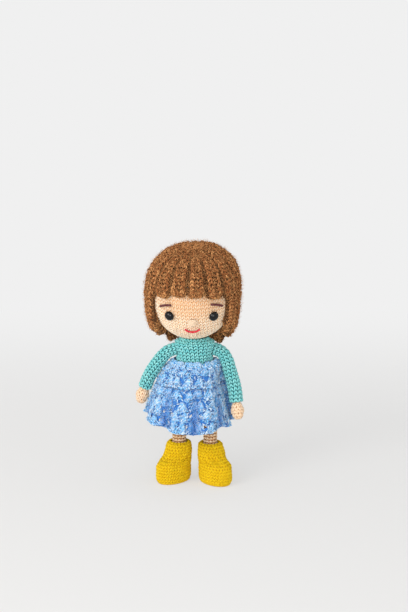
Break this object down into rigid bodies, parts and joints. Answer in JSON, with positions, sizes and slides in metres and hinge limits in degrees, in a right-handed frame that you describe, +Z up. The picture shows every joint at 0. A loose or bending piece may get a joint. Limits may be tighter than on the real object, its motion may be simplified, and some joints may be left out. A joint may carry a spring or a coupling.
{
  "type": "amigurumi doll",
  "caption": "Crocheted doll with a bob of hair, jumper, tiered skirt and pull-off boots; its head turns and nods, and its arms and legs swing.",
  "frame": {"origin": "under the middle of the doll's box, on the surface that it stands on", "axes": "+Z up, -Y the way the doll faces, +X towards the doll's own left"},
  "size_m": [0.054, 0.0496, 0.1202],
  "materials": {
    "skin_yarn": "matte",
    "hair_yarn": "matte",
    "jumper_yarn": "matte",
    "skirt_yarn": "matte",
    "boot_yarn": "matte",
    "eye_plastic": "gloss",
    "washer_plastic": "satin",
    "mouth_thread": "matte",
    "brow_thread": "matte",
    "stuffing": "matte",
    "insole_felt": "matte",
    "steel_wire": "satin"
  },
  "bodies": {
    "torso": {"torso_cover": "jumper_yarn", "torso_stuffing": "stuffing", "skirt_waistband": "skirt_yarn", "skirt_upper_tier": "skirt_yarn", "skirt_lower_tier": "skirt_yarn"},
    "neck": {"neck_post": "washer_plastic"},
    "head": {"left_eye": "eye_plastic", "left_eye_washer": "washer_plastic", "right_eye": "eye_plastic", "right_eye_washer": "washer_plastic", "head_cover": "skin_yarn", "head_stuffing": "stuffing", "nose": "skin_yarn", "mouth": "mouth_thread", "left_eyebrow": "brow_thread", "right_eyebrow": "brow_thread", "hair_crown": "hair_yarn", "fringe_lock_1": "hair_yarn", "fringe_lock_2": "hair_yarn", "fringe_lock_3": "hair_yarn", "fringe_lock_4": "hair_yarn", "left_side_lock_1": "hair_yarn", "left_side_lock_2": "hair_yarn", "left_side_lock_3": "hair_yarn", "right_side_lock_1": "hair_yarn", "right_side_lock_2": "hair_yarn", "right_side_lock_3": "hair_yarn", "nape_lock_1": "hair_yarn", "nape_lock_2": "hair_yarn", "nape_lock_3": "hair_yarn", "nape_lock_4": "hair_yarn", "nape_lock_5": "hair_yarn"},
    "left_shoulder": {"left_shoulder_wire": "steel_wire"},
    "left_arm": {"left_sleeve": "jumper_yarn", "left_hand": "skin_yarn", "left_arm_wire": "steel_wire"},
    "left_leg": {"left_leg": "skin_yarn", "left_leg_wire": "steel_wire"},
    "left_boot": {"left_boot_upper": "boot_yarn", "left_boot_sole": "boot_yarn", "left_insole": "insole_felt", "left_boot_stuffing": "stuffing"},
    "right_shoulder": {"right_shoulder_wire": "steel_wire"},
    "right_arm": {"right_sleeve": "jumper_yarn", "right_hand": "skin_yarn", "right_arm_wire": "steel_wire"},
    "right_leg": {"right_leg": "skin_yarn", "right_leg_wire": "steel_wire"},
    "right_boot": {"right_boot_upper": "boot_yarn", "right_boot_sole": "boot_yarn", "right_insole": "insole_felt", "right_boot_stuffing": "stuffing"}
  },
  "joints": [
    {"name": "neck_turn", "type": "hinge", "parent": "torso", "child": "neck", "pos_m": [0.0025, 0.00047, 0.0755], "axis": [0, 0, 1], "range_deg": [-35, 35]},
    {"name": "head_nod", "type": "hinge", "parent": "neck", "child": "head", "pos_m": [0.0025, 0.00047, 0.0755], "axis": [1, 0, 0], "range_deg": [-6, 6]},
    {"name": "left_arm_swing", "type": "hinge", "parent": "torso", "child": "left_shoulder", "pos_m": [0.0115, 0.00047, 0.0669], "axis": [-0.9397, 0, 0.342], "range_deg": [-10, 80]},
    {"name": "left_arm_lift", "type": "hinge", "parent": "left_shoulder", "child": "left_arm", "pos_m": [0.0115, 0.00047, 0.0669], "axis": [0, -1, 0], "range_deg": [0, 30]},
    {"name": "left_hip", "type": "hinge", "parent": "torso", "child": "left_leg", "pos_m": [0.0102, -0.00113, 0.0466], "axis": [-1, 0, 0], "range_deg": [-30, 35]},
    {"name": "left_boot_pull", "type": "slide", "parent": "left_leg", "child": "left_boot", "axis": [0, 0, -1], "range_m": [0, 0.02]},
    {"name": "right_arm_swing", "type": "hinge", "parent": "torso", "child": "right_shoulder", "pos_m": [-0.0065, 0.00047, 0.0669], "axis": [-0.9397, 0, -0.342], "range_deg": [-15, 80]},
    {"name": "right_arm_lift", "type": "hinge", "parent": "right_shoulder", "child": "right_arm", "pos_m": [-0.0065, 0.00047, 0.0669], "axis": [0, 1, 0], "range_deg": [0, 30]},
    {"name": "right_hip", "type": "hinge", "parent": "torso", "child": "right_leg", "pos_m": [-0.0052, 0.00127, 0.0466], "axis": [-1, 0, 0], "range_deg": [-30, 35]},
    {"name": "right_boot_pull", "type": "slide", "parent": "right_leg", "child": "right_boot", "axis": [0, 0, -1], "range_m": [0, 0.02]}
  ]
}
